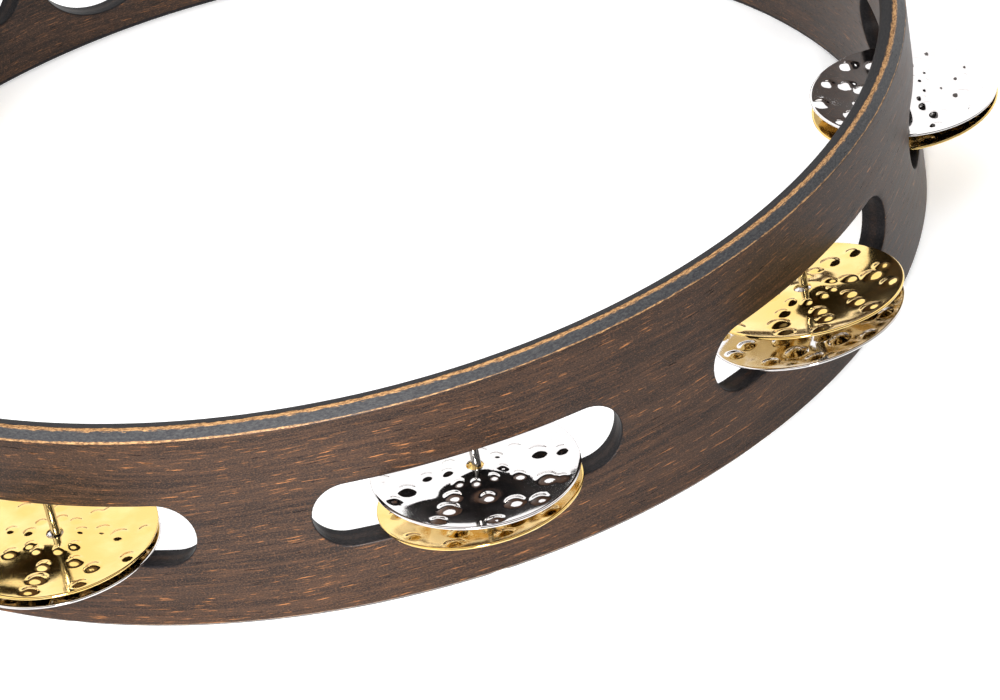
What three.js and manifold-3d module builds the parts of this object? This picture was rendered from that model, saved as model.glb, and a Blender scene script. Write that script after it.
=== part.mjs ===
// Headless hoop tambourine. Units are millimetres and +Z is up.
// The hoop stands on its lower edge with the grip towards +Y. Nine slots are cut
// through its wall, and in each one a pair of hammered metal jingles rides loosely
// on an upright steel pin. Each pair mixes one brass and one nickel-plated jingle.

import * as THREE from 'three';
import { mergeVertices } from 'three/addons/utils/BufferGeometryUtils.js';
import Module from 'manifold-3d';

// ---------------------------------------------------------------- dimensions

// Hoop: a bent wooden ring, 10 inches across and 1 3/4 inches deep.
const HOOP_RADIUS = 127;
const HOOP_DEPTH = 44.5;
const WALL = 5.3;
const BEVEL_ACROSS = 1.7; // outer edge bevel, measured across the edge
const BEVEL_DOWN = 1.65; // and down the wall
const LAND = 1.0; // flat strip left between the bevel and the inner rounding
const INNER_ROUND_ACROSS = 2.6; // inner edge, a flat rounding in two steps
const INNER_ROUND_DOWN = 1.3;
const HOOP_SEGMENTS = 96;

// Slots: full-round ends, evenly pitched either side of -Y, leaving the grip plain.
const SLOT_PITCH = THREE.MathUtils.degToRad(36.57);
const SLOT_LENGTH = 58.9;
const SLOT_HEIGHT = 13.6;
const SLOT_MIDDLE = 21.9; // height of a slot's middle line, just under mid-depth
const SLOT_END_SEGMENTS = 8;

// Thumb hole: one round hole through the grip, off its middle.
const THUMB_RADIUS = 14.75;
const THUMB_ANGLE = THREE.MathUtils.degToRad(100.4);
const THUMB_SEGMENTS = 32;

// Pins: plain steel nails driven up through the wall from the lower edge.
const PIN_RADIUS = 0.9;
const PIN_HEAD_RADIUS = 1.7;
const PIN_HEAD_HEIGHT = 0.8;
const PIN_SINK = 0.5; // how far the head sits above the lower edge
const PIN_TOP = 38; // tip height, hidden in the wood above the slot
const PIN_SEGMENTS = 12;
const CLEARANCE = 0.3; // round a pin in its hole

// Jingles: thin spun discs, slightly crowned, with the rim turned up a little.
const JINGLE_RADIUS = 19.2;
const JINGLE_HOLE_RADIUS = 1.65;
const JINGLE_ASIDE = -0.35; // a loose jingle hangs to one side of its pin
const JINGLE_SHEET = 0.55;
const JINGLE_VALLEY_RADIUS = 10.5;
const JINGLE_CROWN = 0.7; // fall from the centre to the valley
const JINGLE_RIM_RISE = 0.55; // rise from the valley to the rim
const JINGLE_RINGS = [JINGLE_HOLE_RADIUS, 6.5, JINGLE_VALLEY_RADIUS, JINGLE_RADIUS];
const JINGLE_SEGMENTS = 24;

// How each slot is filled. The pins are drilled by hand, so each stands some way off
// its slot's middle, anticlockwise seen from above. A loose jingle lies at the height
// of its rim plane and leans, in degrees, away from the hoop's axis and anticlockwise.
// Slot 1 is the one just past the thumb hole, and the numbers run anticlockwise.
const SLOTS = [
  { pin: 0.6, upper: [22.0, 2, -2], lower: [17.1, -3, 1.5] },
  { pin: -0.4, upper: [21.4, -3, -3], lower: [17.0, 2, -1] },
  { pin: 0.3, upper: [23.2, 1, 3], lower: [17.6, -4, 1] },
  { pin: 1.0, upper: [19.4, -1, 1], lower: [16.7, -2.5, -1] },
  { pin: 1.6, upper: [23.1, 0, 4.5], lower: [17.6, -6, -0.5] },
  { pin: -0.4, upper: [22.6, -5.5, 4.5], lower: [17.1, -8, -1] },
  { pin: 0, upper: [19.2, 2.5, 1], lower: [16.5, -1.5, -0.5] },
  { pin: 0.5, upper: [22.2, -2, -3], lower: [17.0, 3, 1] },
  { pin: -0.3, upper: [21.0, 2, 2], lower: [16.8, -2, -1.5] },
];

// Places worked out from the dimensions above.
const WALL_MIDDLE = HOOP_RADIUS - WALL / 2;
const CUT_START = HOOP_RADIUS - 3 * WALL; // cutters run well past both wall faces
const CUT_LENGTH = 5 * WALL;

// ----------------------------------------------------------------- materials

const wood = () => new THREE.MeshStandardMaterial({ color: 0x4a3427, roughness: 0.5, metalness: 0 });
const steel = () => new THREE.MeshStandardMaterial({ color: 0xb9b6ae, roughness: 0.25, metalness: 1 });
const brass = () => new THREE.MeshStandardMaterial({ color: 0xd8b04a, roughness: 0.18, metalness: 1 });
const nickel = () => new THREE.MeshStandardMaterial({ color: 0xdedede, roughness: 0.1, metalness: 1 });

// ------------------------------------------------------------------- helpers

const wasm = await Module();
wasm.setup();

// A closed three.js mesh as a solid that can be cut.
function toSolid(geometry) {
  const bare = geometry.clone();
  bare.deleteAttribute('normal');
  bare.deleteAttribute('uv');
  const merged = mergeVertices(bare, 1e-4);
  const vertProperties = new Float32Array(merged.attributes.position.array);
  const triVerts = new Uint32Array(merged.index.array);
  return new wasm.Manifold(new wasm.Mesh({ numProp: 3, vertProperties, triVerts }));
}

// A cut solid as a three.js mesh again.
function toGeometry(solid) {
  const mesh = solid.getMesh();
  const geometry = new THREE.BufferGeometry();
  geometry.setAttribute('position', new THREE.BufferAttribute(mesh.vertProperties, 3));
  geometry.setIndex(new THREE.BufferAttribute(mesh.triVerts, 1));
  geometry.computeVertexNormals();
  return geometry;
}

// A closed outline of [radius, height] points turned about +Z. The outline climbs
// its outer side and comes down its inner side.
function turned(outline, segments) {
  const points = outline.map(([radius, height]) => new THREE.Vector2(radius, height));
  return new THREE.LatheGeometry(points, segments).rotateX(Math.PI / 2);
}

// A flat shape pushed radially through the wall: the shape's X runs round the hoop
// and its Y runs up.
function radialCutter(shape, angle, segments) {
  const cutter = new THREE.ExtrudeGeometry(shape, {
    depth: CUT_LENGTH,
    bevelEnabled: false,
    curveSegments: segments,
  });
  const around = new THREE.Vector3(-Math.sin(angle), Math.cos(angle), 0);
  const up = new THREE.Vector3(0, 0, 1);
  const outward = new THREE.Vector3(Math.cos(angle), Math.sin(angle), 0);
  const place = new THREE.Matrix4().makeBasis(around, up, outward);
  place.setPosition(outward.clone().multiplyScalar(CUT_START).setZ(SLOT_MIDDLE));
  return toSolid(cutter.applyMatrix4(place));
}

// Slot number n, from 1, has its middle at this angle from +X.
function slotAngle(n) {
  return -Math.PI / 2 + (n - (SLOTS.length + 1) / 2) * SLOT_PITCH;
}

// And its pin stands at this one.
function pinAngle(n) {
  return slotAngle(n) + SLOTS[n - 1].pin / WALL_MIDDLE;
}

// The middle of the whole outline, hoop and jingles, seen from above.
function outlineMiddle() {
  const box = new THREE.Box2(
    new THREE.Vector2(-HOOP_RADIUS, -HOOP_RADIUS),
    new THREE.Vector2(HOOP_RADIUS, HOOP_RADIUS),
  );
  SLOTS.forEach((_, i) => {
    const angle = pinAngle(i + 1) + JINGLE_ASIDE / WALL_MIDDLE;
    const disc = new THREE.Vector2(Math.cos(angle), Math.sin(angle)).multiplyScalar(WALL_MIDDLE);
    box.expandByPoint(disc.clone().addScalar(JINGLE_RADIUS));
    box.expandByPoint(disc.clone().addScalar(-JINGLE_RADIUS));
  });
  return box.getCenter(new THREE.Vector2());
}

// ---------------------------------------------------------------------- hoop

// One half of the wall's section, as [radius, distance in from the edge].
function edgeOutline() {
  const inner = HOOP_RADIUS - WALL;
  const landOuter = HOOP_RADIUS - BEVEL_ACROSS;
  return [
    [HOOP_RADIUS, BEVEL_DOWN],
    [landOuter, 0],
    [landOuter - LAND, 0],
    [inner + INNER_ROUND_ACROSS * 0.2, INNER_ROUND_DOWN * 0.4],
    [inner, INNER_ROUND_DOWN],
  ];
}

function hoopBlank() {
  const top = edgeOutline().map(([radius, drop]) => [radius, HOOP_DEPTH - drop]);
  const bottom = edgeOutline().reverse();
  return toSolid(turned([...top, ...bottom, top[0]], HOOP_SEGMENTS));
}

function slotShape() {
  const endRadius = SLOT_HEIGHT / 2;
  const endCentre = SLOT_LENGTH / 2 - endRadius;
  const shape = new THREE.Shape();
  shape.moveTo(-endCentre, -endRadius);
  shape.lineTo(endCentre, -endRadius);
  shape.absarc(endCentre, 0, endRadius, -Math.PI / 2, Math.PI / 2, false);
  shape.lineTo(-endCentre, endRadius);
  shape.absarc(-endCentre, 0, endRadius, Math.PI / 2, (3 * Math.PI) / 2, false);
  return shape;
}

function thumbShape() {
  return new THREE.Shape().absarc(0, 0, THUMB_RADIUS, 0, 2 * Math.PI, false);
}

// The nail's hole: a wide mouth for the sunk head, then a blind bore for the shank.
function pinHole(angle) {
  const shank = PIN_RADIUS + CLEARANCE;
  const mouth = PIN_HEAD_RADIUS + CLEARANCE;
  const mouthTop = PIN_SINK + PIN_HEAD_HEIGHT + CLEARANCE;
  const outline = [
    [0, -1],
    [mouth, -1],
    [mouth, mouthTop],
    [shank, mouthTop],
    [shank, PIN_TOP + CLEARANCE],
    [0, PIN_TOP + CLEARANCE],
  ];
  const hole = turned(outline, PIN_SEGMENTS);
  hole.translate(WALL_MIDDLE * Math.cos(angle), WALL_MIDDLE * Math.sin(angle), 0);
  return toSolid(hole);
}

function hoopGeometry() {
  let hoop = hoopBlank();
  for (let n = 1; n <= SLOTS.length; n += 1) {
    hoop = hoop.subtract(radialCutter(slotShape(), slotAngle(n), SLOT_END_SEGMENTS));
    hoop = hoop.subtract(pinHole(pinAngle(n)));
  }
  hoop = hoop.subtract(radialCutter(thumbShape(), THUMB_ANGLE, THUMB_SEGMENTS / 2));
  return toGeometry(hoop);
}

// ---------------------------------------------------------------------- pins

function pinGeometry() {
  const headTop = PIN_SINK + PIN_HEAD_HEIGHT;
  const outline = [
    [0, PIN_SINK],
    [PIN_HEAD_RADIUS, PIN_SINK],
    [PIN_HEAD_RADIUS, headTop],
    [PIN_RADIUS, headTop],
    [PIN_RADIUS, PIN_TOP - PIN_RADIUS],
    [0, PIN_TOP],
  ];
  return turned(outline, PIN_SEGMENTS);
}

// ------------------------------------------------------------------- jingles

// Height of the middle of the sheet above the rim plane.
function dishHeight(radius) {
  const valley = -JINGLE_RIM_RISE;
  if (radius < JINGLE_VALLEY_RADIUS) {
    const wave = Math.cos((Math.PI * radius) / JINGLE_VALLEY_RADIUS);
    return valley + (JINGLE_CROWN / 2) * (1 + wave);
  }
  const out = (radius - JINGLE_VALLEY_RADIUS) / (JINGLE_RADIUS - JINGLE_VALLEY_RADIUS);
  return valley + JINGLE_RIM_RISE * out * out;
}

function jingleGeometry() {
  const side = (offset) => JINGLE_RINGS.map((radius) => [radius, dishHeight(radius) + offset]);
  const underside = side(-JINGLE_SHEET / 2);
  const face = side(JINGLE_SHEET / 2).reverse();
  return turned([...underside, ...face, underside[0]], JINGLE_SEGMENTS);
}

// ------------------------------------------------------------------ assembly

function addMesh(parent, name, geometry, material) {
  const mesh = new THREE.Mesh(geometry, material);
  mesh.name = name;
  parent.add(mesh);
  return mesh;
}

function addJingle(slot, name, [height, leanOut, leanRound], material) {
  const jingle = addMesh(slot, name, jingleGeometry(), material);
  jingle.position.set(0, JINGLE_ASIDE, height);
  jingle.rotation.x = -THREE.MathUtils.degToRad(leanRound);
  jingle.rotation.y = THREE.MathUtils.degToRad(leanOut);
}

function addSlotPieces(parent, n) {
  const swing = new THREE.Group();
  swing.rotation.z = pinAngle(n);
  parent.add(swing);
  const slot = new THREE.Group();
  slot.position.x = WALL_MIDDLE;
  swing.add(slot);

  addMesh(slot, `pin_${n}`, pinGeometry(), steel());
  // Odd slots carry nickel over brass, and even slots brass over nickel.
  const nickelOnTop = n % 2 === 1;
  const rest = SLOTS[n - 1];
  addJingle(slot, `jingle_${n}_upper`, rest.upper, nickelOnTop ? nickel() : brass());
  addJingle(slot, `jingle_${n}_lower`, rest.lower, nickelOnTop ? brass() : nickel());
}

const tambourine = new THREE.Group();
const middle = outlineMiddle();
tambourine.position.set(-middle.x, -middle.y, 0);
addMesh(tambourine, 'hoop', hoopGeometry(), wood());
for (let n = 1; n <= SLOTS.length; n += 1) {
  addSlotPieces(tambourine, n);
}

export default tambourine;
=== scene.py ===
import math

import bmesh
import bpy
import numpy as np
from mathutils import Matrix, Quaternion, Vector, noise
from mathutils.geometry import delaunay_2d_cdt


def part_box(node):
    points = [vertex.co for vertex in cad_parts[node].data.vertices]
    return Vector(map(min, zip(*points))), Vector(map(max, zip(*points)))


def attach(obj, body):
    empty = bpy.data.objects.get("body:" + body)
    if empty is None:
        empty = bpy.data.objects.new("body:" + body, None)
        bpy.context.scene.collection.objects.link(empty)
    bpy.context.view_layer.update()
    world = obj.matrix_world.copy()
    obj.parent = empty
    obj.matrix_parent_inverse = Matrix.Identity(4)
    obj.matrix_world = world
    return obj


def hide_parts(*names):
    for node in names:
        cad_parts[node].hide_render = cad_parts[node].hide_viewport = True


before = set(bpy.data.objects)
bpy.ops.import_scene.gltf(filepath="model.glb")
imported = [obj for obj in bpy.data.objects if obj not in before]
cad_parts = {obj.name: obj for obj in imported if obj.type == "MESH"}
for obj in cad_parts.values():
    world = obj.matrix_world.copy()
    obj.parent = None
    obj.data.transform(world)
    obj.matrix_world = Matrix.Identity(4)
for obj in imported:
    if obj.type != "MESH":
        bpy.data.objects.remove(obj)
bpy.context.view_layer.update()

MM = 0.001

# ------------------------------------------------------------------ places read from the frame

hoop_low, hoop_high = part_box("hoop")
AXIS_X = (hoop_low.x + hoop_high.x) / 2
AXIS_Y = (hoop_low.y + hoop_high.y) / 2
HOOP_RADIUS = (hoop_high.x - hoop_low.x) / 2
HOOP_DEPTH = hoop_high.z - hoop_low.z
SLOT_COUNT = sum(1 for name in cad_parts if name.startswith("pin_"))


def pin_place(number):
    """Angle round the hoop's axis and distance from it, of one pin."""
    low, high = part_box(f"pin_{number}")
    x = (low.x + high.x) / 2 - AXIS_X
    y = (low.y + high.y) / 2 - AXIS_Y
    return math.atan2(y, x), math.hypot(x, y)


WALL_MIDDLE = pin_place(1)[1]
WALL = 2 * (HOOP_RADIUS - WALL_MIDDLE)
INNER_RADIUS = HOOP_RADIUS - WALL

# ------------------------------------------------------------------ camera

CAMERA_FROM_HOOP = Vector((-0.0882, -0.6629, 0.4071))
AIM_FROM_HOOP = Vector((0.0164, -0.0888, 0.02225))
CAMERA_ROLL = math.radians(11.3)
LENS = 133.3
SENSOR_WIDTH = 36


def add_camera():
    """A long lens, placed by where it stands and what it aims at, both from the hoop's foot."""
    foot = Vector((AXIS_X, AXIS_Y, 0))
    data = bpy.data.cameras.new("camera")
    data.lens = LENS
    data.sensor_width = SENSOR_WIDTH
    data.clip_start = 0.01
    data.clip_end = 20
    camera = bpy.data.objects.new("camera", data)
    bpy.context.scene.collection.objects.link(camera)
    camera.location = foot + CAMERA_FROM_HOOP
    look = foot + AIM_FROM_HOOP - camera.location
    roll = Quaternion((0, 0, 1), -CAMERA_ROLL)
    camera.rotation_mode = "QUATERNION"
    camera.rotation_quaternion = look.to_track_quat("-Z", "Y") @ roll
    bpy.context.scene.camera = camera


add_camera()

# ------------------------------------------------------------------ mesh helpers

SAME_POINT = 1e-9


class Builder:
    """Gathers patches of vertices and faces, with a stain value per vertex, into one mesh."""

    def __init__(self):
        self.points = []
        self.faces = []
        self.stains = []
        self.count = 0

    def add(self, points, faces, stain=0.0):
        points = np.asarray(points, float).reshape(-1, 3)
        self.points.append(points)
        self.faces += [[i + self.count for i in face] for face in faces]
        self.stains.append(np.broadcast_to(np.asarray(stain, float).ravel(), len(points)))
        self.count += len(points)

    def mesh(self, name, weld):
        """The patches as one smooth mesh, joined where points lie closer than weld."""
        data = bpy.data.meshes.new(name)
        data.from_pydata(np.concatenate(self.points).tolist(), [], self.faces)
        stain = data.attributes.new("stain", "FLOAT", "POINT")
        stain.data.foreach_set("value", np.concatenate(self.stains).astype(np.float32))
        welded = bmesh.new()
        welded.from_mesh(data)
        bmesh.ops.remove_doubles(welded, verts=welded.verts, dist=weld)
        bmesh.ops.recalc_face_normals(welded, faces=welded.faces)
        welded.to_mesh(data)
        welded.free()
        data.shade_smooth()
        data.update()
        return data


def grid_faces(rows, columns, wrap_rows=False, wrap_columns=False):
    """Quads over a grid of points laid out row by row."""
    faces = []
    for i in range(rows if wrap_rows else rows - 1):
        near, far = i * columns, (i + 1) % rows * columns
        for j in range(columns if wrap_columns else columns - 1):
            k = (j + 1) % columns
            faces.append([near + j, near + k, far + k, far + j])
    return faces


def contains(loop, x, y):
    """True if the point lies inside the closed loop."""
    a, b = loop, np.roll(loop, -1, 0)
    crossed = (a[:, 1] > y) != (b[:, 1] > y)
    with np.errstate(divide="ignore", invalid="ignore"):
        at = a[:, 0] + (y - a[:, 1]) * (b[:, 0] - a[:, 0]) / (b[:, 1] - a[:, 1])
    return bool((crossed & (x < at)).sum() % 2)


def holed_patch(across, up, hole, gap):
    """Triangles over a rectangle with one hole in it. across and up are the grid lines,
    hole is a closed loop of points, and no grid point comes closer to it than gap."""
    border = [(x, up[0]) for x in across[:-1]]
    border += [(across[-1], y) for y in up[:-1]]
    border += [(x, up[-1]) for x in across[:0:-1]]
    border += [(across[0], y) for y in up[:0:-1]]
    inside = []
    for x in across[1:-1]:
        for y in up[1:-1]:
            nearest = np.hypot(hole[:, 0] - x, hole[:, 1] - y).min()
            if nearest > gap and not contains(hole, x, y):
                inside.append((x, y))
    n, m = len(border), len(hole)
    edges = [(i, (i + 1) % n) for i in range(n)]
    edges += [(n + i, n + (i + 1) % m) for i in range(m)]
    points = [Vector(p) for p in border + hole.tolist() + inside]
    flat, _, faces, _, _, _ = delaunay_2d_cdt(points, edges, [], 0, SAME_POINT)
    flat = np.array([tuple(p) for p in flat])
    kept = [list(f) for f in faces if not contains(hole, *flat[list(f)].mean(0))]
    return flat, kept


def hoop_point(angle, radius, height):
    """Points given by angle round the hoop's axis, distance from it and height."""
    x = radius * np.cos(angle) + AXIS_X
    y = radius * np.sin(angle) + AXIS_Y
    return np.stack(np.broadcast_arrays(x, y, height), -1)


def add_piece(name, data, body, slot, *nodes):
    """One visible piece: it rides on its body and stands for its CAD nodes."""
    piece = bpy.data.objects.new(name, data)
    bpy.context.scene.collection.objects.link(piece)
    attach(piece, body)
    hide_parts(*nodes)


# ------------------------------------------------------------------ hoop

SLOT_PITCH = math.radians(36.57)
SLOT_HALF_LENGTH = 29.45 * MM
SLOT_HALF_HEIGHT = 6.8 * MM
SLOT_MIDDLE = 21.9 * MM
THUMB_RADIUS = 14.75 * MM
THUMB_ANGLE = math.radians(100.4)
THUMB_SEGMENTS = 96
SLOT_SEGMENTS = 128
# the mouth in the lower edge that a nail's head sits in
MOUTH_RADIUS = 2.0 * MM
MOUTH_DEPTH = 1.6 * MM
MOUTH_SEGMENTS = 40
MOUTH_GAP = 0.22 * MM
# the section of both edges: outer bevel, flat crest, rounded inner side
BEVEL_ACROSS = 1.7 * MM
BEVEL_DOWN = 1.65 * MM
LAND = 1.0 * MM
INNER_SLOPE = 0.52 * MM
INNER_ROUND = 1.3 * MM
EDGE_DROP = 2.4 * MM
EDGE_RADII = [0.35 * MM, 0.3 * MM, 0.35 * MM, 0.8 * MM, 0.6 * MM]
EDGE_STEPS = 4
# size of the mesh's cells on the walls, and how close points are joined
COLUMN_STEP = 1.27 * MM
ROW_STEP = 1.3 * MM
HOOP_WELD = 0.004 * MM
# the rounded arris round a cut, in millimetres: how far out into the wood, how deep
CUT_STEPS = [(0.4, 0.0), (0.2, 0.05), (0.07, 0.16), (0.0, 0.36), (0.0, 0.8)]
CORE_RINGS = 6
# how much paint a cut holds: at its arris, in the middle of the wall and between them
ARRIS_STAIN = 0.3
CORE_STAIN = 0.72
CORE_REACH = 0.9 * MM
FULL_STAIN = 1.0


def slot_angle(number):
    """Angle round the hoop's axis of a slot's middle."""
    return -math.pi / 2 + (number - (SLOT_COUNT + 1) / 2) * SLOT_PITCH


def fillet(corners, radii, steps):
    """A polyline through the corners, each rounded by an arc of its own radius."""
    out = [np.array(corners[0], float)]
    for i, radius in enumerate(radii, 1):
        corner = np.array(corners[i], float)
        back = np.array(corners[i - 1], float) - corner
        on = np.array(corners[i + 1], float) - corner
        back, on = back / np.linalg.norm(back), on / np.linalg.norm(on)
        half = math.acos(np.clip(back @ on, -1, 1)) / 2
        bisector = (back + on) / np.linalg.norm(back + on)
        centre = corner + bisector * radius / math.sin(half)
        reach = radius / math.tan(half)
        start, end = corner + back * reach - centre, corner + on * reach - centre
        for t in np.linspace(0, 1, steps + 1):
            spoke = start * (1 - t) + end * t
            out.append(centre + spoke / np.linalg.norm(spoke) * radius)
    out.append(np.array(corners[-1], float))
    return np.array(out)


def edge_profile():
    """Section of an edge of the hoop, from the outer wall over to the inner one, as
    (radius, distance in from the edge)."""
    corners = [
        (HOOP_RADIUS, EDGE_DROP),
        (HOOP_RADIUS, BEVEL_DOWN),
        (HOOP_RADIUS - BEVEL_ACROSS, 0),
        (HOOP_RADIUS - BEVEL_ACROSS - LAND, 0),
        (INNER_RADIUS + INNER_SLOPE, INNER_SLOPE),
        (INNER_RADIUS, INNER_ROUND),
        (INNER_RADIUS, EDGE_DROP),
    ]
    return fillet(corners, EDGE_RADII, EDGE_STEPS)


def stadium(offset):
    """Points round a slot, moved out into the wood by offset, as (across, up)."""
    straight = SLOT_HALF_LENGTH - SLOT_HALF_HEIGHT
    turn = math.pi * SLOT_HALF_HEIGHT
    points = []
    for along in np.arange(SLOT_SEGMENTS) / SLOT_SEGMENTS * 2 * (2 * straight + turn):
        side = 1 if along < 2 * straight + turn else -1
        along %= 2 * straight + turn
        if along < 2 * straight:
            points.append((side * (straight - along), side * (SLOT_HALF_HEIGHT + offset)))
        else:
            a = math.pi / 2 + (along - 2 * straight) / SLOT_HALF_HEIGHT
            reach = side * (SLOT_HALF_HEIGHT + offset)
            points.append((reach * math.cos(a) - side * straight, reach * math.sin(a)))
    return np.array(points)


def circle(offset):
    """Points round the thumb hole, moved out into the wood by offset."""
    a = np.arange(THUMB_SEGMENTS) / THUMB_SEGMENTS * 2 * math.pi
    return np.stack([np.cos(a), np.sin(a)], 1) * (THUMB_RADIUS + offset)


def add_cut_wall(builder, outline, middle):
    """The wall of a hole through the hoop, with a small rounded arris at both faces."""
    arris = [(offset * MM, depth * MM) for offset, depth in CUT_STEPS]
    first = arris[-1][1]
    core = [(0.0, depth) for depth in np.linspace(first, WALL - first, CORE_RINGS)[1:-1]]
    rings = arris + core + [(offset, WALL - depth) for offset, depth in reversed(arris)]
    points = []
    stains = []
    for offset, depth in rings:
        loop = outline(offset)
        radius = HOOP_RADIUS - depth
        angle = middle + np.arcsin(loop[:, 0] / radius)
        points.append(hoop_point(angle, radius, loop[:, 1] + SLOT_MIDDLE))
        if offset > 0.1 * MM:
            stain = ARRIS_STAIN
        elif abs(depth - WALL / 2) < CORE_REACH:
            stain = CORE_STAIN
        else:
            stain = FULL_STAIN
        stains.append(np.full(len(loop), stain))
    faces = grid_faces(len(rings), len(points[0]), wrap_columns=True)
    builder.add(np.concatenate(points), faces, np.concatenate(stains))


def add_walls(builder, middle, across, outline):
    """The outer and the inner wall over one stretch of the hoop, with a hole in them."""
    rows = round((HOOP_DEPTH - 2 * EDGE_DROP) / ROW_STEP)
    up = np.linspace(EDGE_DROP, HOOP_DEPTH - EDGE_DROP, rows + 1)
    loop = outline(CUT_STEPS[0][0] * MM)
    for radius in (HOOP_RADIUS, INNER_RADIUS):
        angle = np.arcsin(loop[:, 0] / radius)
        hole = np.stack([angle * HOOP_RADIUS, loop[:, 1] + SLOT_MIDDLE], 1)
        flat, faces = holed_patch(across, up, hole, 0.7 * ROW_STEP)
        builder.add(hoop_point(middle + flat[:, 0] / HOOP_RADIUS, radius, flat[:, 1]), faces)


def add_plain_edge(builder, angles, lower, closed):
    """An edge of the hoop without holes, over the given angles."""
    profile = edge_profile()
    a, radius = np.meshgrid(angles, profile[:, 0], indexing="ij")
    height = profile[:, 1] if lower else HOOP_DEPTH - profile[:, 1]
    faces = grid_faces(len(angles), len(profile), wrap_rows=closed)
    builder.add(hoop_point(a, radius, height), faces)


def add_drilled_edge(builder, middle, across, pin_angle):
    """The lower edge over one slot's stretch, with the mouth that the nail's head sits in."""
    profile = edge_profile()
    steps = np.hypot(*np.diff(profile, axis=0).T)
    run = np.concatenate([[0], np.cumsum(steps)])
    turn = np.arange(MOUTH_SEGMENTS) / MOUTH_SEGMENTS * 2 * math.pi
    out = WALL_MIDDLE + MOUTH_RADIUS * np.cos(turn)
    aside = MOUTH_RADIUS * np.sin(turn)
    radius, angle = np.hypot(out, aside), pin_angle - middle + np.arctan2(aside, out)
    rim_run = np.interp(-radius, -profile[:, 0], run)
    hole = np.stack([angle * HOOP_RADIUS, rim_run], 1)
    flat, faces = holed_patch(across, run, hole, MOUTH_GAP)

    def on_edge(points):
        radius = np.interp(points[:, 1], run, profile[:, 0])
        drop = np.interp(points[:, 1], run, profile[:, 1])
        return hoop_point(middle + points[:, 0] / HOOP_RADIUS, radius, drop)

    builder.add(on_edge(flat), faces)
    rim = on_edge(hole)
    floor = rim.copy()
    floor[:, 2] = MOUTH_DEPTH
    hub = np.broadcast_to(floor.mean(0), floor.shape)
    rings = np.concatenate([rim, floor, hub])
    builder.add(rings, grid_faces(3, len(rim), wrap_columns=True), FULL_STAIN)


def stretch_ends():
    """Angles that part the hoop into stretches with one hole each: the nine slots in
    order, then the grip with its thumb hole."""
    thumb_end = THUMB_ANGLE - 2 * math.pi + math.asin(THUMB_RADIUS / HOOP_RADIUS)
    slot_start = slot_angle(1) - math.asin(SLOT_HALF_LENGTH / HOOP_RADIUS)
    bridge = (thumb_end + slot_start) / 2
    joins = [slot_angle(number) + SLOT_PITCH / 2 for number in range(1, SLOT_COUNT + 1)]
    return [bridge, *joins, bridge + 2 * math.pi]


def hoop_mesh():
    """The whole hoop, stretch by stretch, with its upper edge in one piece."""
    builder = Builder()
    ends = stretch_ends()
    middles = [slot_angle(number) for number in range(1, SLOT_COUNT + 1)] + [THUMB_ANGLE]
    angles = []
    for index, middle in enumerate(middles):
        start, end = ends[index : index + 2]
        columns = round((end - start) * HOOP_RADIUS / COLUMN_STEP)
        stretch = np.linspace(start, end, columns + 1)
        across = (stretch - middle) * HOOP_RADIUS
        is_grip = index == SLOT_COUNT
        outline = circle if is_grip else stadium
        add_walls(builder, middle, across, outline)
        add_cut_wall(builder, outline, middle)
        if is_grip:
            add_plain_edge(builder, stretch, lower=True, closed=False)
        else:
            add_drilled_edge(builder, middle, across, pin_place(index + 1)[0])
        angles += list(stretch[:-1])
    add_plain_edge(builder, np.array(angles), lower=False, closed=True)
    return builder.mesh("hoop_wood", HOOP_WELD)


# ------------------------------------------------------------------ jingles

JINGLE_RADIUS = 19.2 * MM
HOLE_RADIUS = 1.65 * MM
SHEET = 0.55 * MM
VALLEY_RADIUS = 11 * MM
CROWN = 1.15 * MM
RIM_RISE = 0.85 * MM
LIFT = 0.26 * MM  # keeps the deeper dish clear of the slot's floor
DENT_LIMIT = 0.08 * MM  # no dent goes deeper than this
RINGS = 60
SPOKES = 200
RIM_TILTS = np.radians((-60, -30, 0, 30, 60))
# the hole's wall bulges inwards a little between the two faces
HOLE_BULGE = 0.05 * MM
HOLE_LEVELS = (0.6, 0.0, -0.6)
# rows of hammer marks: how many, then in millimetres how far out, how wide and how high
HAMMER_ROWS = [
    (9, 5.3, 1.25, 0.42),
    (7, 8.9, 1.65, 0.55),
    (8, 12.8, 2.1, 0.68),
    (11, 16.5, 1.7, 0.48),
]
MARK_POWER = 1.15
MOAT_SHARE = 0.2  # depth of the moat round a mark, as a share of the mark's height
# slow waves in the sheet, which fade out towards the rim
WAVE_LENGTH = 6.5 * MM
WAVE_HEIGHT = 0.3 * MM
WAVE_FADE = 3 * MM


def dish_height(radius):
    """Height of the plain disc above its rim plane."""
    wave = -RIM_RISE + CROWN / 2 * (1 + np.cos(math.pi * radius / VALLEY_RADIUS))
    out = (radius - VALLEY_RADIUS) / (JINGLE_RADIUS - VALLEY_RADIUS)
    return np.where(radius < VALLEY_RADIUS, wave, RIM_RISE * (out * out - 1))


def hammer_marks(rng):
    """Places, radii and heights of the raised marks on one jingle."""
    marks = []
    for count, radius, width, height in HAMMER_ROWS:
        turn = rng.uniform(0, 2 * math.pi)
        for k in range(count):
            a = turn + (k + rng.uniform(-0.2, 0.2)) * 2 * math.pi / count
            r = radius + rng.uniform(-0.35, 0.35) * width
            size = rng.uniform(0.82, 1.1)
            marks.append((r * math.cos(a), r * math.sin(a), width * size, height * size))
    return np.array(marks) * MM


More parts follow.
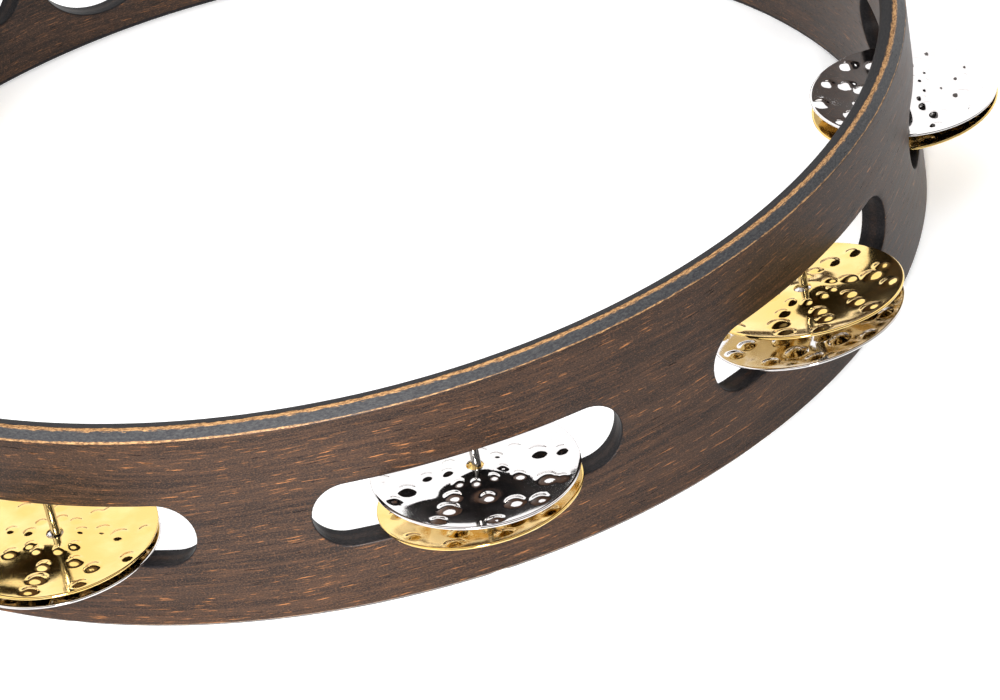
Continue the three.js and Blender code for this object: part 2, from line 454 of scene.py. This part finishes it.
def jingle_mesh(name, seed):
    """A hammered disc with a rounded rim and a hole, lying about its rim plane."""
    radius = np.linspace(HOLE_RADIUS, JINGLE_RADIUS - SHEET / 2, RINGS)
    turn = np.arange(SPOKES) / SPOKES * 2 * math.pi
    r, a = np.meshgrid(radius, turn, indexing="ij")
    x, y = r * np.cos(a), r * np.sin(a)
    height = dish_height(r) + LIFT
    dents = np.zeros_like(height)
    for mark_x, mark_y, width, rise in hammer_marks(np.random.default_rng(seed)):
        q = ((x - mark_x) ** 2 + (y - mark_y) ** 2) / width**2
        height += rise * np.clip(1 - q, 0, 1) ** MARK_POWER
        dents -= MOAT_SHARE * rise * np.exp(-q / 3)
    places = zip((x / WAVE_LENGTH).ravel(), (y / WAVE_LENGTH).ravel())
    waves = np.array([noise.noise((px, py, seed * 7.3)) for px, py in places])
    flatten = np.clip((JINGLE_RADIUS - r) / WAVE_FADE, 0.1, 1)
    dents += waves.reshape(x.shape) * WAVE_HEIGHT * flatten
    # a smooth maximum holds the dents above the limit
    height += (dents + np.hypot(dents, 2 * DENT_LIMIT)) / 2 - DENT_LIMIT
    half = SHEET / 2
    layers = [(x[i], y[i], height[i] - half) for i in range(RINGS)]
    for tilt in RIM_TILTS:
        rim = JINGLE_RADIUS - half + half * math.cos(tilt)
        rise = height[-1] + half * math.sin(tilt)
        layers.append((rim * np.cos(turn), rim * np.sin(turn), rise))
    layers += [(x[i], y[i], height[i] + half) for i in reversed(range(RINGS))]
    for level in HOLE_LEVELS:
        tight = HOLE_RADIUS - HOLE_BULGE
        layers.append((tight * np.cos(turn), tight * np.sin(turn), height[0] + half * level))
    points = np.stack([np.stack(layer, -1) for layer in layers])
    builder = Builder()
    faces = grid_faces(len(layers), SPOKES, wrap_rows=True, wrap_columns=True)
    builder.add(points, faces)
    return builder.mesh(name, SAME_POINT)


def jingle_frame(node):
    """Where a CAD jingle lies: the middle of its rim plane, and the plane's normal."""
    points = np.array([v.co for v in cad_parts[node].data.vertices], float)
    middle = points.mean(0)
    _, _, axes = np.linalg.svd(points - middle)
    normal = axes[2] * np.sign(axes[2][2])
    reach = np.linalg.norm(np.cross(points - middle, normal), axis=1)
    rim = points[reach > 0.98 * reach.max()]
    return Vector(rim.mean(0)), Vector(normal)


def add_jingle(number, where, material):
    """One hammered disc, laid where its CAD node lies. where is upper or lower."""
    node = f"jingle_{number}_{where}"
    middle, normal = jingle_frame(node)
    seed = 10 * number + (1 if where == "upper" else 2)
    data = jingle_mesh(f"{node}_sheet", seed)
    data.materials.append(material)
    turn = Vector((0, 0, 1)).rotation_difference(normal).to_matrix().to_4x4()
    data.transform(Matrix.Translation(middle) @ turn)
    add_piece(f"{node}_hammered", data, node, f"jingle_{material.name}", node)


# ------------------------------------------------------------------ pins

PIN_RADIUS = 0.9 * MM
PIN_SEGMENTS = 28
PIN_WELD = 1e-7
# the head's section: share of its radius, and millimetres up from its underside
PIN_HEAD = [(0.0, -0.1), (0.55, -0.07), (0.88, 0.04), (1.0, 0.2), (1.0, 0.6), (0.9, 0.8)]
# faint rings that drawing leaves along the shank: their count, depth and closeness
RING_COUNT = 24
RING_DEPTH = 0.006
RING_RATE = 2.3


def pin_mesh(number):
    """A plain nail: a low domed head, a round shank with drawn rings, and a point."""
    low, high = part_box(f"pin_{number}")
    head = (high.x - low.x) / 2
    x, y = (low.x + high.x) / 2, (low.y + high.y) / 2
    outline = [(across * head, low.z + up * MM) for across, up in PIN_HEAD]
    outline += [(1.15 * PIN_RADIUS, low.z + 0.85 * MM), (PIN_RADIUS, low.z + 1.1 * MM)]
    for z in np.linspace(low.z + 2 * MM, high.z - 4 * MM, RING_COUNT):
        ripple = RING_DEPTH * math.sin(RING_RATE * z / MM + number)
        outline.append((PIN_RADIUS * (1 + ripple), z))
    outline += [(PIN_RADIUS, high.z - 3 * MM), (0.6 * PIN_RADIUS, high.z - 1.5 * MM)]
    outline.append((0.0, high.z))
    turn = np.arange(PIN_SEGMENTS) / PIN_SEGMENTS * 2 * math.pi
    radius, z = np.array(outline).T[..., None]
    ring = (x + radius * np.cos(turn), y + radius * np.sin(turn), z)
    points = np.stack(np.broadcast_arrays(*ring), -1)
    builder = Builder()
    builder.add(points, grid_faces(len(outline), PIN_SEGMENTS, wrap_columns=True))
    return builder.mesh(f"pin_{number}_steel", PIN_WELD)


# ------------------------------------------------------------------ materials

DARK_WOOD = (0.007, 0.0038, 0.0025)
MID_WOOD = (0.020, 0.0105, 0.0062)
WARM_WOOD = (0.047, 0.022, 0.011)
PALE_WOOD = (0.092, 0.044, 0.022)
BARE_WOOD = (0.340, 0.135, 0.042)
PORE = (0.006, 0.005, 0.005)
PAINT = (0.008, 0.008, 0.009)
WORN_PAINT = (0.022, 0.019, 0.019)
# the outer bevel's black paint, fresh and worn, lightened to dark grey: painted sheen on real
# black paint
BEVEL_PAINT_AND_PAINTED_SHEEN = (0.022, 0.022, 0.025)
WORN_BEVEL_PAINT_AND_PAINTED_SHEEN = (0.062, 0.061, 0.060)
BROWN_CREST = (0.130, 0.062, 0.026)
TAN_CREST = (0.480, 0.270, 0.115)
WOOD_GLOSS = 0.20
MATT_GLOSS = 0.04
# places on the hoop in millimetres, as the wood's nodes read them
BEVEL_START = (HOOP_RADIUS - BEVEL_ACROSS) / MM  # where the bevel meets the crest
BEVEL_END = BEVEL_DOWN / MM
OUTER_FACE = HOOP_RADIUS / MM
# how fine the metal's noise is, per metre
CLOUD_SCALE = 120.0
PIT_SCALE = 2600.0


class Nodes:
    """A node tree, with short calls for the nodes it uses."""

    def __init__(self, tree):
        self.tree = tree

    def new(self, kind, **settings):
        node = self.tree.nodes.new(kind)
        for key, value in settings.items():
            setattr(node, key, value)
        return node

    def feed(self, socket, value):
        """Links a socket to another node's output, or sets it to a plain value."""
        if isinstance(value, bpy.types.NodeSocket):
            self.tree.links.new(value, socket)
        elif isinstance(value, tuple) and len(value) < len(socket.default_value):
            socket.default_value = (*value, 1)
        else:
            socket.default_value = value

    def math(self, operation, a, b=0.0):
        node = self.new("ShaderNodeMath", operation=operation)
        self.feed(node.inputs[0], a)
        self.feed(node.inputs[1], b)
        return node.outputs[0]

    def step(self, value, low, high, start=0.0, end=1.0):
        """start below low, end above high, smooth between."""
        node = self.new("ShaderNodeMapRange", interpolation_type="SMOOTHSTEP")
        self.feed(node.inputs["Value"], value)
        node.inputs["From Min"].default_value = low
        node.inputs["From Max"].default_value = high
        node.inputs["To Min"].default_value = start
        node.inputs["To Max"].default_value = end
        return node.outputs["Result"]

    def mix(self, amount, a, b):
        node = self.new("ShaderNodeMix", data_type="RGBA")
        self.feed(node.inputs["Factor"], amount)
        self.feed(node.inputs["A"], a)
        self.feed(node.inputs["B"], b)
        return node.outputs["Result"]

    def vector(self, x, y, z):
        node = self.new("ShaderNodeCombineXYZ")
        for socket, value in zip(node.inputs, (x, y, z)):
            self.feed(socket, value)
        return node.outputs[0]

    def noise(self, vector, scale=1.0, detail=3.0, rough=0.55):
        node = self.new("ShaderNodeTexNoise")
        self.feed(node.inputs["Vector"], vector)
        node.inputs["Scale"].default_value = scale
        node.inputs["Detail"].default_value = detail
        node.inputs["Roughness"].default_value = rough
        return node.outputs["Fac"]

    def near(self, value, place, reach):
        """1 at the place, falling to 0 at that distance from it."""
        away = self.math("ABSOLUTE", self.math("SUBTRACT", value, place))
        share = self.math("MINIMUM", self.math("DIVIDE", away, reach), 1.0)
        return self.math("SUBTRACT", 1.0, share)

    def bump(self, height, strength, distance):
        node = self.new("ShaderNodeBump")
        node.inputs["Strength"].default_value = strength
        node.inputs["Distance"].default_value = distance
        self.feed(node.inputs["Height"], height)
        return node.outputs[0]


def new_material(name):
    """A material, the tools for its nodes, and its shader's inputs."""
    material = bpy.data.materials.new(name)
    material.use_nodes = True
    return material, Nodes(material.node_tree), material.node_tree.nodes["Principled BSDF"].inputs


def grain_coordinates(n):
    """(round, up, out) in millimetres, measured on the hoop, with the seam at the grip."""
    split = n.new("ShaderNodeSeparateXYZ")
    n.feed(split.inputs[0], n.new("ShaderNodeTexCoord").outputs["Object"])
    x = n.math("SUBTRACT", split.outputs["X"], AXIS_X)
    y = n.math("SUBTRACT", split.outputs["Y"], AXIS_Y)
    angle = n.math("ARCTAN2", x, n.math("MULTIPLY", y, -1.0))
    out = n.math("SQRT", n.math("ADD", n.math("MULTIPLY", x, x), n.math("MULTIPLY", y, y)))
    around = n.math("MULTIPLY", angle, HOOP_RADIUS / MM)
    up = n.math("MULTIPLY", split.outputs["Z"], 1 / MM)
    return around, up, n.math("MULTIPLY", out, 1 / MM)


def wood_material():
    """Dark stained open-pored wood, painted black on its edges and cuts, with painted sheen
    lightening the black to grey on the outer bevel, and the paint rubbed through along the crest."""
    material, n, shader = new_material("wood")
    around, up, out = grain_coordinates(n)
    # the grain wanders a little up and down as it runs round the hoop
    wander = n.vector(n.math("MULTIPLY", around, 0.012), n.math("MULTIPLY", up, 0.03), 0.0)
    sway = n.math("SUBTRACT", n.noise(wander, detail=1), 0.5)
    level = n.math("ADD", up, n.math("MULTIPLY", sway, 9.0))

    def streaks(long, fine, seed, detail=3.0, rough=0.55):
        """Noise drawn out along the grain, with streaks about this long and this fine."""
        depth = n.math("ADD", n.math("MULTIPLY", out, 1 / fine), seed)
        place = n.vector(n.math("DIVIDE", around, long), n.math("DIVIDE", level, fine), depth)
        return n.noise(place, detail=detail, rough=rough)

    bands = streaks(70, 4.5, 11.0, 2)
    fibres = streaks(14, 0.6, 37.0, 4, 0.7)
    speckle = streaks(0.45, 0.2, 53.0, 2, 0.8)
    colour = n.mix(n.step(bands, 0.36, 0.64), DARK_WOOD, MID_WOOD)
    colour = n.mix(n.step(fibres, 0.42, 0.68, end=0.85), colour, WARM_WOOD)
    colour = n.mix(n.step(speckle, 0.50, 0.72, end=0.9), colour, PALE_WOOD)
    colour = n.mix(n.step(speckle, 0.28, 0.50, 0.85, 0.0), colour, PORE)
    # short dashes where the stain has not taken
    dashes = n.step(streaks(4.5, 0.36, 71.0, 3, 0.6), 0.58, 0.76)
    dashes = n.math("MULTIPLY", dashes, n.step(bands, 0.38, 0.6, start=0.25))
    colour = n.mix(n.math("MULTIPLY", dashes, 0.85), colour, BARE_WOOD)
    # open pores
    pores = n.step(streaks(5.0, 0.32, 97.0, 3, 0.6), 0.62, 0.71)
    colour = n.mix(n.math("MULTIPLY", pores, 0.92), colour, PORE)

    # black paint on the edges and in the cuts
    drop = n.math("MINIMUM", up, n.math("SUBTRACT", HOOP_DEPTH / MM, up))
    edge = n.step(drop, BEVEL_END - 0.06, BEVEL_END + 0.06, start=1.0, end=0.0)
    cut = n.new("ShaderNodeAttribute", attribute_name="stain").outputs["Fac"]
    bevel = n.math("MULTIPLY", edge, n.step(out, BEVEL_START - 0.3, BEVEL_START + 0.1))
    worn = n.step(streaks(0.7, 0.3, 191.0, 3, 0.7), 0.3, 0.8)
    colour = n.mix(n.math("MAXIMUM", edge, cut), colour, n.mix(worn, PAINT, WORN_PAINT))
    # the outer bevel gets a lighter grey copy of the black paint: painted sheen, on top of its
    # real gloss
    colour = n.mix(bevel, colour, n.mix(worn, BEVEL_PAINT_AND_PAINTED_SHEEN, WORN_BEVEL_PAINT_AND_PAINTED_SHEEN))
    # rubbed through to bare wood along the crest, and here and there on the arris
    rubs = n.math("SUBTRACT", streaks(2.2, 0.3, 131.0, 4, 0.75), 0.5)
    crest = n.near(out, BEVEL_START - 0.4, 0.8)
    crest = n.math("MULTIPLY", crest, n.step(drop, 0.2, 0.4, start=1.0, end=0.0))
    at_face = n.step(out, OUTER_FACE - 0.8, OUTER_FACE - 0.4)
    arris = n.math("MULTIPLY", n.near(drop, BEVEL_END - 0.1, 0.32), at_face)
    crest = n.step(n.math("ADD", crest, n.math("MULTIPLY", rubs, 1.5)), 0.30, 0.60)
    patches = n.math("SUBTRACT", streaks(40, 3.0, 151.0, 2), 0.5)
    arris = n.math("ADD", arris, n.math("MULTIPLY", n.math("ADD", rubs, patches), 1.3))
    rubbed = n.math("MAXIMUM", crest, n.step(arris, 0.55, 0.95, end=0.85))
    tan = n.mix(n.step(streaks(0.8, 0.25, 171.0, 3, 0.7), 0.36, 0.64), BROWN_CREST, TAN_CREST)
    colour = n.mix(rubbed, colour, tan)
    n.feed(shader["Base Color"], colour)

    n.feed(shader["Roughness"], n.math("ADD", 0.32, n.math("MULTIPLY", fibres, 0.22)))
    matt = n.math("MAXIMUM", n.math("MAXIMUM", cut, pores), n.math("SUBTRACT", edge, bevel))
    n.feed(shader["Specular IOR Level"], n.step(matt, 0, 1, WOOD_GLOSS, MATT_GLOSS))
    relief = n.math("SUBTRACT", n.math("MULTIPLY", fibres, 0.5), pores)
    relief = n.math("ADD", relief, n.math("MULTIPLY", speckle, 0.3))
    n.feed(shader["Normal"], n.bump(relief, 0.35, 0.05 * MM))
    return material


def metal_material(name, colour, tint, roughness):
    """Polished metal with faint clouds of the tint and fine pits."""
    material, n, shader = new_material(name)
    place = n.new("ShaderNodeTexCoord").outputs["Object"]
    fine = n.noise(place, PIT_SCALE, 2, 0.7)
    clouds = n.step(n.noise(place, CLOUD_SCALE), 0.4, 0.7)
    n.feed(shader["Base Color"], n.mix(clouds, colour, tint))
    n.feed(shader["Roughness"], n.step(fine, 0.45, 0.8, start=roughness, end=roughness + 0.1))
    shader["Metallic"].default_value = 1.0
    n.feed(shader["Normal"], n.bump(fine, 0.12, 0.02 * MM))
    return material


# ------------------------------------------------------------------ the object

wood = wood_material()
nickel = metal_material("nickel", (0.60, 0.575, 0.57), (0.68, 0.66, 0.65), 0.03)
brass = metal_material("brass", (0.68, 0.46, 0.15), (0.75, 0.54, 0.22), 0.08)
steel = metal_material("steel", (0.55, 0.53, 0.50), (0.68, 0.66, 0.62), 0.14)

hoop_data = hoop_mesh()
hoop_data.materials.append(wood)
add_piece("hoop_wood", hoop_data, "hoop", "wood", "hoop")

for number in range(1, SLOT_COUNT + 1):
    pin_data = pin_mesh(number)
    pin_data.materials.append(steel)
    add_piece(f"pin_{number}_nail", pin_data, "hoop", "pin_steel", f"pin_{number}")
    nickel_on_top = number % 2 == 1
    add_jingle(number, "upper", nickel if nickel_on_top else brass)
    add_jingle(number, "lower", brass if nickel_on_top else nickel)

# ------------------------------------------------------------------ floor and light

BRIGHT_SIDE = Vector((-0.22, 0.92, 0.33))  # the way to the studio's bright part
BRIGHT_SKY = 1.75
DIM_SKY = 0.10
DIM_FROM = -0.3
BRIGHT_FROM = 0.2
FLOOR_REACH = 6.0
FLOOR_GREY = 0.93
FLOOR_ROUGHNESS = 0.9
FLOOR_GLOW = 0.3
KEY_PLACE = Vector((-0.22, -0.74, 0.30))
KEY_AIM = Vector((-0.03, -0.12, 0.02))
KEY_SIZE = 0.16
KEY_SPREAD = math.radians(20)
KEY_POWER = 0.30


def add_floor():
    """A pale sheet, lit a little from below like a light table."""
    data = bpy.data.meshes.new("floor")
    turns = ((-1, -1), (1, -1), (1, 1), (-1, 1))
    corners = [(x * FLOOR_REACH, y * FLOOR_REACH, 0) for x, y in turns]
    data.from_pydata(corners, [], [(0, 1, 2, 3)])
    material, _, shader = new_material("floor_paper")
    shader["Base Color"].default_value = (FLOOR_GREY, FLOOR_GREY, FLOOR_GREY, 1)
    shader["Roughness"].default_value = FLOOR_ROUGHNESS
    shader["Emission Color"].default_value = (1, 1, 1, 1)
    shader["Emission Strength"].default_value = FLOOR_GLOW
    data.materials.append(material)
    floor = bpy.data.objects.new("floor", data)
    bpy.context.scene.collection.objects.link(floor)


def add_key_light():
    """A square softbox beside the camera, aimed at the near part of the hoop."""
    data = bpy.data.lights.new("key", "AREA")
    data.shape = "RECTANGLE"
    data.size = KEY_SIZE
    data.size_y = KEY_SIZE
    data.spread = KEY_SPREAD
    data.energy = KEY_POWER
    light = bpy.data.objects.new("key", data)
    bpy.context.scene.collection.objects.link(light)
    light.location = KEY_PLACE
    light.rotation_mode = "QUATERNION"
    light.rotation_quaternion = (KEY_AIM - KEY_PLACE).to_track_quat("-Z", "Y")


def add_world():
    """A white studio, bright overhead and beyond the object, dim on the camera's side."""
    world = bpy.data.worlds.new("studio")
    world.use_nodes = True
    n = Nodes(world.node_tree)
    toward = n.new("ShaderNodeVectorMath", operation="DOT_PRODUCT")
    n.feed(toward.inputs[0], n.new("ShaderNodeTexCoord").outputs["Generated"])
    toward.inputs[1].default_value = BRIGHT_SIDE
    background = world.node_tree.nodes["Background"].inputs
    background["Color"].default_value = (1, 1, 1, 1)
    sky = n.step(toward.outputs["Value"], DIM_FROM, BRIGHT_FROM, DIM_SKY, BRIGHT_SKY)
    n.feed(background["Strength"], sky)
    bpy.context.scene.world = world


add_floor()
add_world()
add_key_light()
bpy.context.scene.view_settings.view_transform = "Standard"
